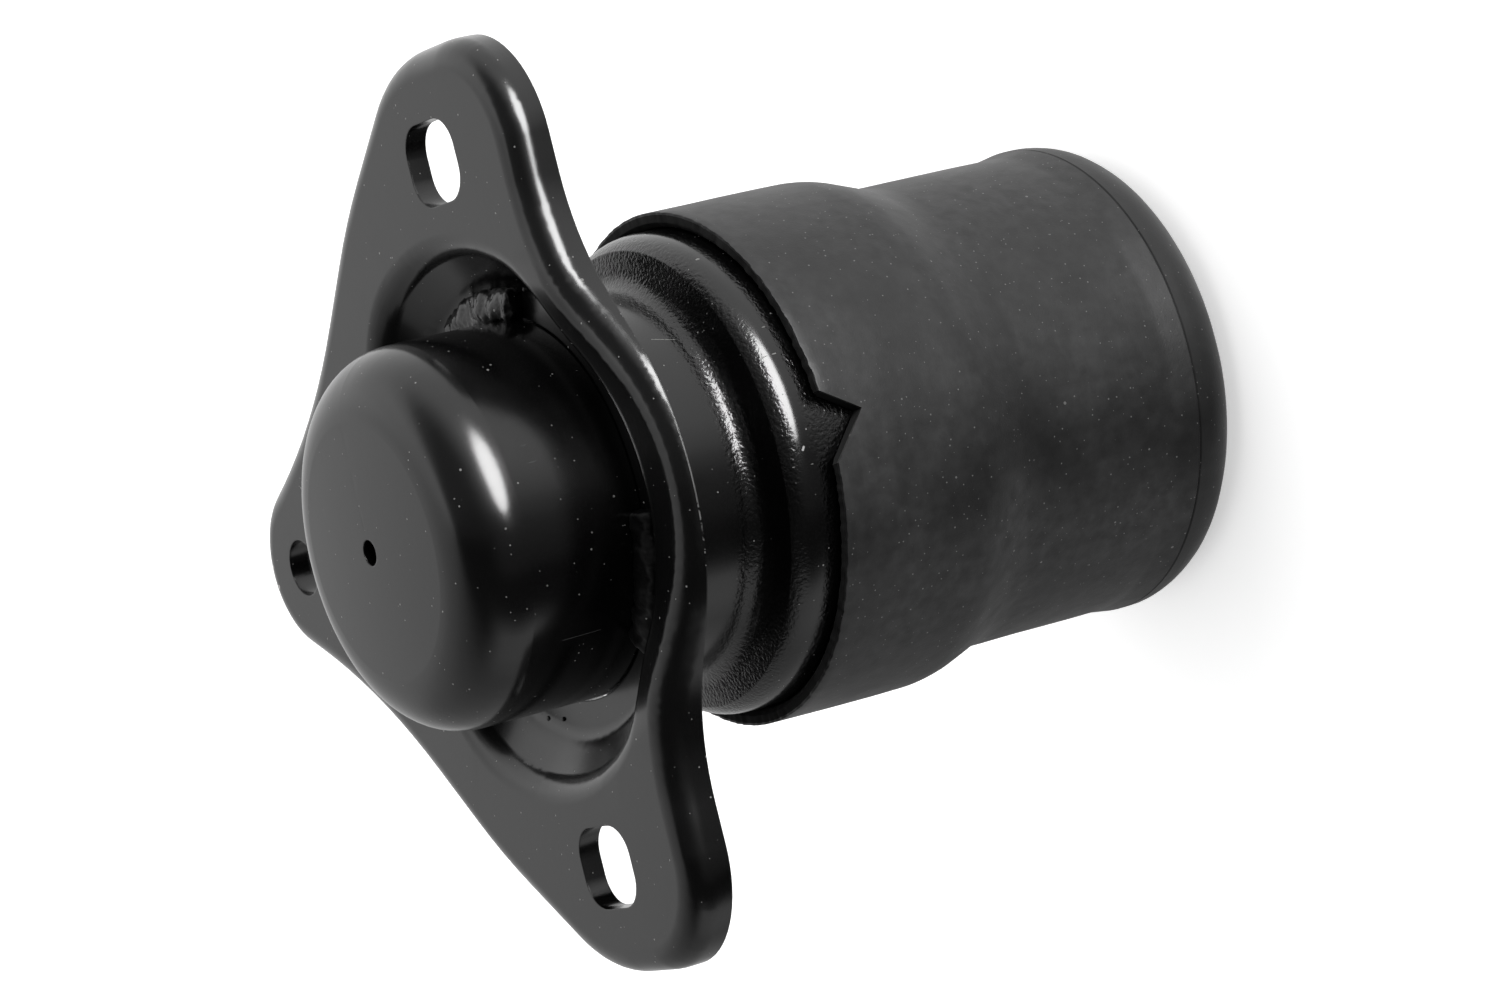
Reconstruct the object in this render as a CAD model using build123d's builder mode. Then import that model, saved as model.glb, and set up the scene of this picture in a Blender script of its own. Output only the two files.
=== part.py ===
"""Hydraulic engine mount with a pressed three-ear flange, a domed can and a rubber sleeve.

Millimetres. Z runs along the mount, with the dome up and the rear face on Z = 0. The origin is
the mouth of the thread in the inner core. X runs through the two slotted ears, and Y points to
the single round hole.
"""

import os
from math import atan, cos, hypot, radians, sin, tan

from build123d import *

os.makedirs("parts", exist_ok=True)

# Flange plate
sheet = 3.2                  # thickness of the pressed steel
flange_face_z = 104.4        # front face of the plate above the rear face
slot_spacing = 100.0         # between the two slotted holes, along X
slot_line_y = -6.7           # the slots lie a little off the body's axis
slot_width = 11.6            # across, along X
slot_length = 14.2           # end to end, along Y
slot_corner = 4.4
round_hole_y = 64.4
round_hole_d = 8.5
ear_reach = 15.6             # from a slot's centre to the ear's end
ear_side_reach = 22.7        # from the slot line to the ear's straight side
ear_corner_outer = 25.0
ear_corner_side = 16.0
nose_round = 13.5            # round end of the third ear, about its hole
nose_angle = 27.0            # lean of the long side beside the nose
bridge_width = 10.4          # from the dish to the edge between the slotted ears
bridge_round = 34.0
bridge_angle = 33.0          # lean of the edge between the bridge and the ear's side
waist_round = 33.0           # where the ear's side turns in towards the bridge
flank_inset = 2.0            # the long side leaves the ear this far inside the slot's centre
flank_drop = 38.8            # and this far before the round hole
flank_angle = 36.8           # lean of the long side beside the ear
flank_round = 100.0
neck_in_drop = 13.0          # the side turns towards the third ear this far before its hole
neck_in_round = 107.0
rim_depth = 6.4              # from the front face to the trimmed edge
rim_inside_round = 0.8       # inside the turned-back rim
saddle_depth = 4.0           # dip of the plate between the slotted ears
saddle_inset = 1.4           # the dip is this much narrower than the dish's floor
saddle_blend = 30.0

# Dish pressed into the plate round the can
dish_depth = 7.5
dish_floor_width = 6.2       # from the can to the dish's side
dish_taper = 1.2
dish_floor_round = 2.6
dish_inside_round = 0.5      # under the bend at the dish's mouth
can_hole_clearance = 0.25

# Domed can
can_radius = 27.2
can_wall = 1.8
dome_height = 20.4           # from the plate's front face to the top of the dome
can_corner = 9.4
crown_rise = 1.1
shoulder_width = 7.6         # from the neck out to the widest place of the shoulder
bead_width = 1.8             # the shoulder's rolled bead, from its widest place to its top edge
bead_height = 3.9
foot_rise = 0.8              # from the bead's top edge in to the foot of the neck
neck_foot_round = 3.1
skirt_end_z = 48.5
vent_hole_d = 3.7

# Weld seams in the dish
weld_leg = 3.4
weld_height = 2.7
weld_arc = 40.0
weld_count = 3
weld_start_angle = -16.0
weld_bulge = 0.62            # how far the bead's belly reaches towards its square corner

# Clamped stack inside the can
lip_thickness = 1.8
stack_clearance = 0.1        # radial, between the stack and the can
lip_clearance = 0.2          # radial, between the crimped lip and the outer tube
tube_flange = 2.5
seal_thickness = 1.5
track_body_height = 9.0
track_cover_height = 3.0
track_rim = 3.9              # left outside the channel
channel_width = 9.0
channel_depth = 5.5
channel_gap_angle = 28.0     # left solid between the channel's two ends
port_d = 6.0
port_angle = 9.0             # from the channel's end to the middle of its port
decoupler_radius = 14.5
decoupler_thickness = 3.0
decoupler_gap = 0.4
decoupler_round = 0.75
grid_hole_d = 4.0
grid_ring_radius = 9.0
grid_ring_count = 8
rivet_d = 3.0
rivet_clearance = 0.05
rivet_head_d = 5.0
rivet_head = 0.8
rivet_count = 4
rivet_start_angle = 45.0
rim_width = 4.7              # rubber rim of the diaphragm
bead_rise = 7.3              # from the track's cover up to the widest place of the shoulder
rim_edge_round = 3.3
rim_ring_width = 2.5
rim_ring_height = 2.4
rim_ring_cover = 1.4         # rubber under the ring
rim_ring_side = 1.0          # rubber round the ring
membrane = 1.7
bellows_clearance = 2.0      # between the bellows and the neck
bellows_taper = 2.4
bellows_height = 20.0

# Rubber sleeve
sleeve_step = 3.1            # how much smaller it is round the outer tube
sleeve_wall = 2.2            # round the can
sleeve_foot_wall = 2.7       # round the outer tube
sleeve_clearance = 0.3       # radial, on the can and on the outer tube
sleeve_front_drop = 2.6      # front edge below the widest place of the shoulder
sleeve_mouth = 0.7           # bevel inside the front edge
step_gap = 2.1               # top of the step below the can's crimped end
step_height = 9.0
step_round = 12.0
flare = 0.6                  # the sleeve's rear end widens to the base
flare_height = 4.0
flare_round = 8.0
edge_break = 0.2
notch_angle = -85.1
notch_depth = 5.7
notch_left = 3.7
notch_right = 6.5

# Outer tube, main spring and inner core
tube_wall = 2.0
tube_mouth_round = 1.0
base_height = 8.4
base_edge_round = 7.2
base_land = 2.4              # flat ring of rubber round the recess
recess_width = 3.4
recess_depth = 17.0
recess_round = 1.6
recess_mouth_round = 0.8
spring_foot_z = 4.0
spring_head_drop = 5.0       # bonded length ends this far below the core's head
spring_wall_rise = 2.0       # and this far above it on the outer tube
core_base_radius = 20.0
core_top_radius = 13.0
core_height = 42.0
core_edge = 1.0
thread_radius = 5.1          # tapping size of the engine's bolt
thread_depth = 24.0
drill_point_angle = 31.0
stop_radius = 19.0
stop_thickness = 3.0
stop_edge_round = 1.0
screw_radius = 4.0
screw_clearance = 0.05
screw_web = 0.9              # left between the thread's drilled end and the screw's hole
screw_head_radius = 6.5
screw_head_height = 4.0
screw_head_round = 1.3
screw_socket = 5.0
screw_socket_depth = 2.3
screw_tip_chamfer = 0.7
screw_tip_gap = 1.0          # left between the screw's tip and the bottom of its hole

# Places worked out from the sizes above, first along the mount
lip_top_z = skirt_end_z + lip_thickness
seal_z = lip_top_z + tube_flange
track_body_z = seal_z + seal_thickness
track_cover_z = track_body_z + track_body_height
rim_z = track_cover_z + track_cover_height
ring_z = rim_z + rim_ring_cover
membrane_z = ring_z + rim_ring_height / 2
bead_z = rim_z + bead_rise
foot_edge_z = bead_z + bead_height
neck_foot_z = foot_edge_z + foot_rise
can_top_z = flange_face_z + dome_height
dish_floor_z = flange_face_z - dish_depth
sleeve_front_z = bead_z - sleeve_front_drop
step_high_z = skirt_end_z - step_gap
step_low_z = step_high_z - step_height
spring_head_z = core_height - spring_head_drop
spring_wall_top_z = core_height + spring_wall_rise
screw_head_z = core_height + stop_thickness
screw_length = core_height - thread_depth - thread_radius * tan(radians(drill_point_angle)) - screw_web

# Then across it
shoulder_radius = can_radius + shoulder_width
foot_edge_radius = shoulder_radius - bead_width
sleeve_large = shoulder_radius + sleeve_clearance + sleeve_wall
sleeve_small = sleeve_large - sleeve_step
cavity_radius = shoulder_radius - can_wall
stack_radius = cavity_radius - stack_clearance
tube_outer = sleeve_small - sleeve_foot_wall - sleeve_clearance
tube_inner = tube_outer - tube_wall
base_radius = sleeve_small + flare
recess_outer = base_radius - base_edge_round - base_land
recess_inner = recess_outer - recess_width
channel_outer = stack_radius - track_rim
channel_inner = channel_outer - channel_width
channel_middle = channel_outer - channel_width / 2
rivet_ring_radius = (decoupler_radius + decoupler_gap + channel_inner) / 2
rim_inner = stack_radius - rim_width
ring_outer = stack_radius - rim_ring_side
ring_inner = ring_outer - rim_ring_width
bellows_foot = can_radius - can_wall - bellows_clearance
bellows_top = bellows_foot - bellows_taper
foot_slope = foot_rise / (foot_edge_radius - can_radius)
foot_drop = can_wall / cos(atan(foot_slope))
core_slope = (core_base_radius - core_top_radius) / core_height

# And on the flange
slot_x = slot_spacing / 2
ear_end_x = slot_x + ear_reach
ear_side_y = slot_line_y - ear_side_reach
dish_floor_radius = can_radius + dish_floor_width
dish_top_radius = dish_floor_radius + dish_taper
dish_bend = sheet + dish_inside_round
rim_bend = sheet + rim_inside_round
saddle_half = dish_floor_radius - saddle_inset
saddle_rounds = (saddle_half**2 + saddle_depth**2) / (2 * saddle_depth)


def foot_underside(radius):
    """Height inside the can of the flat foot round its neck, at a radius."""
    return neck_foot_z - foot_drop - foot_slope * (radius - can_radius)


def core_side(height):
    """Radius of the inner core's tapered side at a height."""
    return core_base_radius - core_slope * height


def corner(sketch, across, up):
    """The vertex of a profile that lies nearest to a point."""
    return sketch.vertices().sort_by_distance((across, up))[0]


# Mounting flange: one pressed steel sheet

def flange_outline():
    """Corner points of the outline, with a radius for each corner."""
    nose_tip_y = round_hole_y + nose_round / sin(radians(nose_angle))
    neck_in_y = round_hole_y - neck_in_drop
    flank_x = slot_x - flank_inset
    flank_y = round_hole_y - flank_drop
    ear_shoulder_y = flank_y - (ear_end_x - flank_x) / tan(radians(flank_angle))
    bridge_reach = dish_top_radius + bridge_width
    bridge_y = -bridge_reach - bridge_round * (1 / cos(radians(bridge_angle)) - 1)
    half = [
        (((nose_tip_y - neck_in_y) * tan(radians(nose_angle)), neck_in_y), neck_in_round),
        ((flank_x, flank_y), flank_round),
        ((ear_end_x, ear_shoulder_y), ear_corner_outer),
        ((ear_end_x, ear_side_y), ear_corner_side),
        (((ear_side_y - bridge_y) / tan(radians(bridge_angle)), ear_side_y), waist_round),
    ]
    other_half = [((-x, y), radius) for (x, y), radius in reversed(half)]
    corners = [((0, nose_tip_y), nose_round)] + half + [((0, bridge_y), bridge_round)] + other_half
    return [point for point, radius in corners], [radius for point, radius in corners]


def dish_form(inset):
    """Tapered pocket of the dish, grown by inset on its floor and side."""
    floor_z = dish_floor_z - inset
    lean = (dish_top_radius - dish_floor_radius) / dish_depth
    top_z = flange_face_z + 1
    with BuildPart() as form:
        with BuildSketch(Plane.XZ) as profile:
            with BuildLine():
                Polyline(
                    (0, floor_z),
                    (dish_floor_radius + inset * (1 - lean), floor_z),
                    (dish_top_radius + inset + lean * (top_z - flange_face_z), top_z),
                    (0, top_z),
                    close=True,
                )
            make_face()
            fillet(corner(profile, dish_floor_radius + inset, floor_z), dish_floor_round + inset)
        revolve(axis=Axis.Z)
    return form.part


def on_circle(edge, radius):
    """True for an edge whose middle and start both lie near a radius from the body's axis."""
    return all(abs(hypot((edge @ at).X, (edge @ at).Y) - radius) < 1 for at in (0, 0.3, 0.5))


def plate_die(outline, inset):
    """Block under the plate's skin at a depth of inset, with the dish, the saddle and the bends."""
    top_z = flange_face_z - inset
    share = (saddle_blend - inset) / saddle_rounds
    turn_x = saddle_half * (1 - share)
    turn_z = top_z - saddle_depth * share
    with BuildPart() as die:
        with BuildSketch(Plane.XY.offset(top_z)):
            add(outline)
        extrude(amount=-4 * rim_depth)
        with BuildSketch(Plane.XZ):
            with BuildLine():
                blend = TangentArc((-saddle_half, top_z), (-turn_x, turn_z), tangent=(1, 0))
                valley = TangentArc(blend @ 1, (turn_x, turn_z), tangent=blend % 1)
                rise = TangentArc(valley @ 1, (saddle_half, top_z), tangent=valley % 1)
                Polyline(rise @ 1, (saddle_half, top_z + 1), (-saddle_half, top_z + 1), blend @ 0)
            make_face()
        extrude(amount=4 * dish_top_radius, mode=Mode.SUBTRACT)
        add(dish_form(inset), mode=Mode.SUBTRACT)
        top_edges = die.edges().filter_by(lambda edge: edge.center().Z > top_z - saddle_depth - 1)
        mouth = top_edges.filter_by(lambda edge: on_circle(edge, dish_top_radius + inset))
        fillet(mouth, dish_bend - inset)
        side_faces = die.faces().filter_by(lambda face: abs(face.normal_at().Z) < 0.001)
        skirt_top = side_faces.edges().filter_by(lambda edge: edge.center().Z > top_z - saddle_depth - 1)
        fillet(skirt_top.filter_by(lambda edge: abs((edge % 0.5).Z) < 0.9), rim_bend - inset)
    return die.part


with BuildSketch() as plate_outline:
    with BuildLine():
        outline_points, outline_radii = flange_outline()
        FilletPolyline(*outline_points, radius=outline_radii, close=True)
    make_face()

with BuildSketch() as hollow_outline:
    add(plate_outline.sketch)
    offset(amount=-sheet)

with BuildPart() as mounting_flange:
    add(plate_die(plate_outline.sketch, 0))
    add(plate_die(hollow_outline.sketch, sheet), mode=Mode.SUBTRACT)
    with BuildSketch(Plane.XY.offset(flange_face_z - rim_depth)):
        Circle(2 * slot_x)
        add(hollow_outline.sketch, mode=Mode.SUBTRACT)
    extrude(amount=-4 * rim_depth, mode=Mode.SUBTRACT)
    with BuildSketch(Plane.XY.offset(dish_floor_z)):
        Circle(can_radius + can_hole_clearance)
    extrude(amount=-2 * sheet, mode=Mode.SUBTRACT)
    with BuildSketch(Plane.XY.offset(flange_face_z)):
        with Locations((-slot_x, slot_line_y), (slot_x, slot_line_y)):
            RectangleRounded(slot_width, slot_length, slot_corner)
        with Locations((0, round_hole_y)):
            Circle(round_hole_d / 2)
    extrude(amount=-2 * sheet, mode=Mode.SUBTRACT)
mounting_flange.part.label = "mounting_flange"
export_step(mounting_flange.part, "parts/mounting_flange.step")

# Domed can: dome, neck, shoulder and skirt drawn from one sheet, with its end crimped under the stack

with BuildSketch(Plane.XZ) as can_skin:
    with BuildLine():
        skirt = Polyline((0, skirt_end_z), (shoulder_radius, skirt_end_z), (shoulder_radius, bead_z))
        bead = TangentArc(skirt @ 1, (foot_edge_radius, foot_edge_z), tangent=(0, 1))
        neck = Polyline(bead @ 1, (can_radius, neck_foot_z), (can_radius, can_top_z - crown_rise))
        crown = ThreePointArc(neck @ 1, (can_radius / 2, can_top_z - crown_rise / 4), (0, can_top_z))
        Line(crown @ 1, skirt @ 0)
    make_face()
    fillet(corner(can_skin, can_radius, can_top_z - crown_rise), can_corner)
    fillet(corner(can_skin, can_radius, neck_foot_z), neck_foot_round)
    fillet(corner(can_skin, shoulder_radius, skirt_end_z), lip_thickness)

with BuildSketch(Plane.XZ) as can_space:
    add(can_skin.sketch_local)
    mirror(about=Plane.YZ)
    offset(amount=-can_wall)
    with Locations((shoulder_radius, 0)):
        Rectangle(2 * shoulder_radius, 3 * can_top_z, mode=Mode.INTERSECT)

with BuildPart() as upper_can:
    with BuildSketch(Plane.XZ):
        add(can_skin.sketch_local)
        add(can_space.sketch_local, mode=Mode.SUBTRACT)
        with Locations((0, skirt_end_z)):
            Rectangle(2 * (tube_outer + lip_clearance), 2 * lip_thickness, mode=Mode.SUBTRACT)
        with Locations((0, can_top_z)):
            Rectangle(vent_hole_d, 4 * can_wall, mode=Mode.SUBTRACT)
    revolve(axis=Axis.Z)
upper_can.part.label = "upper_can"
export_step(upper_can.part, "parts/upper_can.step")

# Weld seams between the dish floor and the can

for seam in range(weld_count):
    start = radians(weld_start_angle + seam * 360 / weld_count)
    across = Vector(cos(start), sin(start), 0)
    seam_plane = Plane(origin=(0, 0, 0), x_dir=across, z_dir=across.cross(Vector(0, 0, 1)))
    with BuildPart() as weld_seam:
        with BuildSketch(seam_plane):
            with BuildLine():
                toe = (can_radius + weld_leg, dish_floor_z)
                top = (can_radius, dish_floor_z + weld_height)
                belly = (can_radius + weld_bulge * weld_leg, dish_floor_z + weld_bulge * weld_height)
                ThreePointArc(toe, belly, top)
                Polyline(top, (can_radius, dish_floor_z), toe)
            make_face()
        revolve(axis=Axis.Z, revolution_arc=weld_arc)
    weld_seam.part.label = f"weld_seam_{seam + 1}"
    export_step(weld_seam.part, f"parts/weld_seam_{seam + 1}.step")

# Rubber sleeve with its notch

with BuildPart() as rubber_sleeve:
    with BuildSketch(Plane.XZ):
        with BuildLine():
            skin = FilletPolyline(
                (base_radius, base_height),
                (sleeve_small, base_height + flare_height),
                (sleeve_small, step_low_z),
                (sleeve_large, step_high_z),
                (sleeve_large, sleeve_front_z),
                radius=[flare_round, step_round, step_round],
            )
            lining = FilletPolyline(
                (sleeve_small - sleeve_foot_wall, base_height),
                (sleeve_small - sleeve_foot_wall, step_low_z),
                (sleeve_large - sleeve_wall, step_high_z),
                (sleeve_large - sleeve_wall, sleeve_front_z),
                radius=step_round,
            )
            Line(skin @ 0, lining @ 0)
            Line(skin @ 1, lining @ 1)
        make_face()
    revolve(axis=Axis.Z)
    rings = rubber_sleeve.edges().filter_by(GeomType.CIRCLE).group_by(Axis.Z)
    chamfer(rings[0].sort_by(SortBy.RADIUS)[-1], edge_break)
    chamfer(rings[-1].sort_by(SortBy.RADIUS)[0], sleeve_mouth)
    notch_out = Vector(cos(radians(notch_angle)), sin(radians(notch_angle)), 0)
    notch_side = Vector(0, 0, 1).cross(notch_out)
    with BuildSketch(Plane(origin=(0, 0, sleeve_front_z), x_dir=notch_side, z_dir=notch_out)):
        with BuildLine():
            Polyline(
                (0, -notch_depth),
                (notch_left, 0),
                (notch_left, 1),
                (-notch_right, 1),
                (-notch_right, 0),
                close=True,
            )
        make_face()
    extrude(amount=2 * sleeve_large, mode=Mode.SUBTRACT)
rubber_sleeve.part.label = "rubber_sleeve"
export_step(rubber_sleeve.part, "parts/rubber_sleeve.step")

# Outer tube that the main spring is bonded to, with a flange clamped in the can

with BuildPart() as outer_tube:
    with BuildSketch(Plane.XZ):
        with BuildLine():
            Polyline(
                (tube_inner, base_height),
                (tube_outer, base_height),
                (tube_outer, lip_top_z),
                (stack_radius, lip_top_z),
                (stack_radius, seal_z),
                (tube_inner, seal_z),
                close=True,
            )
        make_face()
    revolve(axis=Axis.Z)
    mouth = outer_tube.edges().filter_by(GeomType.CIRCLE).group_by(Axis.Z)[-1].sort_by(SortBy.RADIUS)[0]
    fillet(mouth, tube_mouth_round)
outer_tube.part.label = "outer_tube"
export_step(outer_tube.part, "parts/outer_tube.step")

# Main rubber spring, with the rounded rear end that shows below the sleeve

with BuildPart() as main_spring:
    with BuildSketch(Plane.XZ) as spring_section:
        with BuildLine():
            Polyline(
                (core_side(spring_foot_z), spring_foot_z),
                (recess_inner, recess_depth),
                (recess_outer, recess_depth),
                (recess_outer, 0),
                (base_radius, 0),
                (base_radius, base_height),
                (tube_inner, base_height),
                (tube_inner, spring_wall_top_z),
                (core_side(spring_head_z), spring_head_z),
                close=True,
            )
        make_face()
        fillet(corner(spring_section, base_radius, 0), base_edge_round)
        fillet(corner(spring_section, recess_inner, recess_depth), recess_round)
        fillet(corner(spring_section, recess_outer, recess_depth), recess_round)
        fillet(corner(spring_section, recess_outer, 0), recess_mouth_round)
        chamfer(corner(spring_section, base_radius, base_height), edge_break)
    revolve(axis=Axis.Z)
main_spring.part.label = "main_spring"
export_step(main_spring.part, "parts/main_spring.step")

# Inner core: the threaded insert that carries the engine's bolt

with BuildPart() as inner_core:
    with BuildSketch(Plane.XZ) as core_section:
        with BuildLine():
            Polyline(
                (0, 0),
                (core_base_radius, 0),
                (core_top_radius, core_height),
                (0, core_height),
                close=True,
            )
        make_face()
        chamfer(corner(core_section, core_base_radius, 0), core_edge)
        chamfer(corner(core_section, core_top_radius, core_height), core_edge)
    revolve(axis=Axis.Z)
    with Locations(Plane.XY.offset(core_height)):
        Hole(radius=screw_radius + screw_clearance, depth=screw_length)
    with BuildSketch(Plane.XZ):
        with BuildLine():
            Polyline(
                (0, 0),
                (thread_radius, 0),
                (thread_radius, thread_depth),
                (0, thread_depth + thread_radius * tan(radians(drill_point_angle))),
                close=True,
            )
        make_face()
    revolve(axis=Axis.Z, mode=Mode.SUBTRACT)
inner_core.part.label = "inner_core"
export_step(inner_core.part, "parts/inner_core.step")

# Rebound stop: a steel plate screwed to the core's head

with BuildPart() as stop_plate:
    with BuildSketch(Plane.XY.offset(core_height)):
        Circle(stop_radius)
        Circle(screw_radius + screw_clearance, mode=Mode.SUBTRACT)
    extrude(amount=stop_thickness)
    rims = stop_plate.edges().filter_by(GeomType.CIRCLE).group_by(SortBy.RADIUS)[-1]
    fillet(rims, stop_edge_round)
stop_plate.part.label = "stop_plate"
export_step(stop_plate.part, "parts/stop_plate.step")

with BuildPart() as stop_screw:
    with BuildSketch(Plane.XY.offset(screw_head_z)):
        Circle(screw_head_radius)
    extrude(amount=screw_head_height)
    fillet(stop_screw.edges().sort_by(Axis.Z)[-1], screw_head_round)
    with BuildSketch(Plane.XY.offset(screw_head_z + screw_head_height)):
        RegularPolygon(radius=screw_socket / 2, side_count=6, major_radius=False)
    extrude(amount=-screw_socket_depth, mode=Mode.SUBTRACT)
    with BuildSketch(Plane.XY.offset(screw_head_z)):
        Circle(screw_radius)
    extrude(amount=-(stop_thickness + screw_length - screw_tip_gap))
    chamfer(stop_screw.edges().sort_by(Axis.Z)[0], screw_tip_chamfer)
stop_screw.part.label = "stop_screw"
export_step(stop_screw.part, "parts/stop_screw.step")

# Seal between the tube's flange and the track body

with BuildPart() as track_seal:
    with BuildSketch(Plane.XY.offset(seal_z)):
        Circle(stack_radius)
        Circle(tube_inner, mode=Mode.SUBTRACT)
    extrude(amount=seal_thickness)
track_seal.part.label = "track_seal"
export_step(track_seal.part, "parts/track_seal.step")

# Track body: the channel that the fluid swings through, and the decoupler's seat

with BuildSketch() as track_holes:
    Circle(grid_hole_d / 2)
    with PolarLocations(grid_ring_radius, grid_ring_count):
        Circle(grid_hole_d / 2)
    with PolarLocations(rivet_ring_radius, rivet_count, start_angle=rivet_start_angle):
        Circle(rivet_d / 2 + rivet_clearance)

with BuildPart() as track_body:
    with BuildSketch(Plane.XY.offset(track_body_z)):
        Circle(stack_radius)
    extrude(amount=track_body_height)
    with BuildSketch(Plane.XZ):
        with Locations((channel_middle, track_cover_z - channel_depth / 2)):
            Rectangle(channel_width, channel_depth)
    revolve(axis=Axis.Z, revolution_arc=360 - channel_gap_angle, mode=Mode.SUBTRACT)
    with BuildSketch(Plane.XY.offset(track_cover_z)):
        Circle(decoupler_radius + decoupler_gap)
    extrude(amount=-(decoupler_thickness + 2 * decoupler_gap), mode=Mode.SUBTRACT)
    with BuildSketch(Plane.XY.offset(track_cover_z)):
        add(track_holes.sketch)
        with PolarLocations(channel_middle, 1, start_angle=port_angle):
            Circle(port_d / 2)
    extrude(amount=-track_body_height, mode=Mode.SUBTRACT)
track_body.part.label = "track_body"
export_step(track_body.part, "parts/track_body.step")

with BuildPart() as decoupler:
    with BuildSketch(Plane.XY.offset(track_cover_z - decoupler_gap)):
        Circle(decoupler_radius)
    extrude(amount=-decoupler_thickness)
    fillet(decoupler.edges(), decoupler_round)
decoupler.part.label = "decoupler"
export_step(decoupler.part, "parts/decoupler.step")

with BuildPart() as track_cover:
    with BuildSketch(Plane.XY.offset(track_cover_z)):
        Circle(stack_radius)
        add(track_holes.sketch, mode=Mode.SUBTRACT)
        with PolarLocations(channel_middle, 1, start_angle=-channel_gap_angle - port_angle):
            Circle(port_d / 2, mode=Mode.SUBTRACT)
    extrude(amount=track_cover_height)
track_cover.part.label = "track_cover"
export_step(track_cover.part, "parts/track_cover.step")

with BuildPart() as track_rivets:
    with BuildSketch(Plane.XY.offset(track_body_z - rivet_head)):
        with PolarLocations(rivet_ring_radius, rivet_count, start_angle=rivet_start_angle):
            Circle(rivet_head_d / 2)
    extrude(amount=rivet_head)
    with BuildSketch(Plane.XY.offset(rim_z)):
        with PolarLocations(rivet_ring_radius, rivet_count, start_angle=rivet_start_angle):
            Circle(rivet_head_d / 2)
    extrude(amount=rivet_head)
    with BuildSketch(Plane.XY.offset(track_body_z)):
        with PolarLocations(rivet_ring_radius, rivet_count, start_angle=rivet_start_angle):
            Circle(rivet_d / 2)
    extrude(amount=track_body_height + track_cover_height)
track_rivets.part.label = "track_rivets"
export_step(track_rivets.part, "parts/track_rivets.step")

# Rolling diaphragm with the steel ring that is moulded into its rim

with BuildPart() as diaphragm_ring:
    with BuildSketch(Plane.XY.offset(ring_z)):
        Circle(ring_outer)
        Circle(ring_inner, mode=Mode.SUBTRACT)
    extrude(amount=rim_ring_height)
diaphragm_ring.part.label = "diaphragm_ring"
export_step(diaphragm_ring.part, "parts/diaphragm_ring.step")

with BuildPart() as diaphragm:
    with BuildSketch(Plane.XZ) as rim_section:
        with BuildLine():
            Polyline(
                (rim_inner, rim_z),
                (stack_radius, rim_z),
                (stack_radius, foot_underside(stack_radius)),
                (rim_inner, foot_underside(rim_inner)),
                close=True,
            )
        make_face()
        fillet(corner(rim_section, stack_radius, foot_underside(stack_radius)), rim_edge_round)
        with BuildLine():
            upper = FilletPolyline(
                (rim_inner, membrane_z + membrane / 2),
                (bellows_foot + membrane / 2, membrane_z + membrane / 2),
                (bellows_top + membrane / 2, membrane_z + bellows_height + membrane / 2),
                (0, membrane_z + bellows_height - membrane),
                radius=[2 * membrane, 3 * membrane],
            )
            lower = FilletPolyline(
                (rim_inner, membrane_z - membrane / 2),
                (bellows_foot - membrane / 2, membrane_z - membrane / 2),
                (bellows_top - membrane / 2, membrane_z + bellows_height - membrane / 2),
                (0, membrane_z + bellows_height - 2 * membrane),
                radius=[3 * membrane, 2 * membrane],
            )
            Line(upper @ 0, lower @ 0)
            Line(upper @ 1, lower @ 1)
        make_face()
    revolve(axis=Axis.Z)
    add(diaphragm_ring.part, mode=Mode.SUBTRACT)
diaphragm.part.label = "diaphragm"
export_step(diaphragm.part, "parts/diaphragm.step")
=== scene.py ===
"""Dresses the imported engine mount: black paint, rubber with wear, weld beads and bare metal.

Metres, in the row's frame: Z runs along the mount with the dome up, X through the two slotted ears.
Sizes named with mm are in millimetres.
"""

import logging
import math
from collections.abc import Callable
from dataclasses import dataclass, field
from enum import Enum

import bmesh
import bpy
from mathutils import Matrix, Vector


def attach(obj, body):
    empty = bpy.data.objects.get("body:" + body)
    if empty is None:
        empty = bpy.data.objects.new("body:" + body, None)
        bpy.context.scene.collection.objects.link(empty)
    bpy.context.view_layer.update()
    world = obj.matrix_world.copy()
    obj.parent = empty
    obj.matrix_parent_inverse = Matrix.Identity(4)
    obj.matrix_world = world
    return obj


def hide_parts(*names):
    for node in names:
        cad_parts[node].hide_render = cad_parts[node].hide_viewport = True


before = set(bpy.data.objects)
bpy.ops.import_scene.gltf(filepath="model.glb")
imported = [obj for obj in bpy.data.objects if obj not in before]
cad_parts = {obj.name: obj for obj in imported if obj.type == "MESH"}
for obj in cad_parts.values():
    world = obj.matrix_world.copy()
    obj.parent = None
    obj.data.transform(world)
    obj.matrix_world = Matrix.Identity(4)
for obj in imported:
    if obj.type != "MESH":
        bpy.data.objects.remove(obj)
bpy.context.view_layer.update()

LOG = logging.getLogger("engine_mount")
MM = 0.001
SAME_MM = 0.001  # corners nearer than this are the same corner
MERGE_MM = 0.002  # vertices nearer than this are merged
MOST_CUTS = 7  # how many times a long side is halved at most

Point = tuple[float, float]
Place = tuple[float, float, float]
Socket = bpy.types.NodeSocket

MIDDLE: Point = (0.3, 0.7)  # where most of a noise's values lie


# The workbench: modelling steps that the pieces share


def modify(piece: bpy.types.Object, kind: str, **settings: object) -> None:
    """Adds a modifier to the active piece and applies it.

    Args:
        piece: the piece, in object mode.
        kind: the modifier's type.
        settings: its own settings by name.
    """
    modifier = piece.modifiers.new(kind.lower(), kind)
    for name, value in settings.items():
        setattr(modifier, name, value)
    bpy.ops.object.modifier_apply(modifier=modifier.name)


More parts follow.
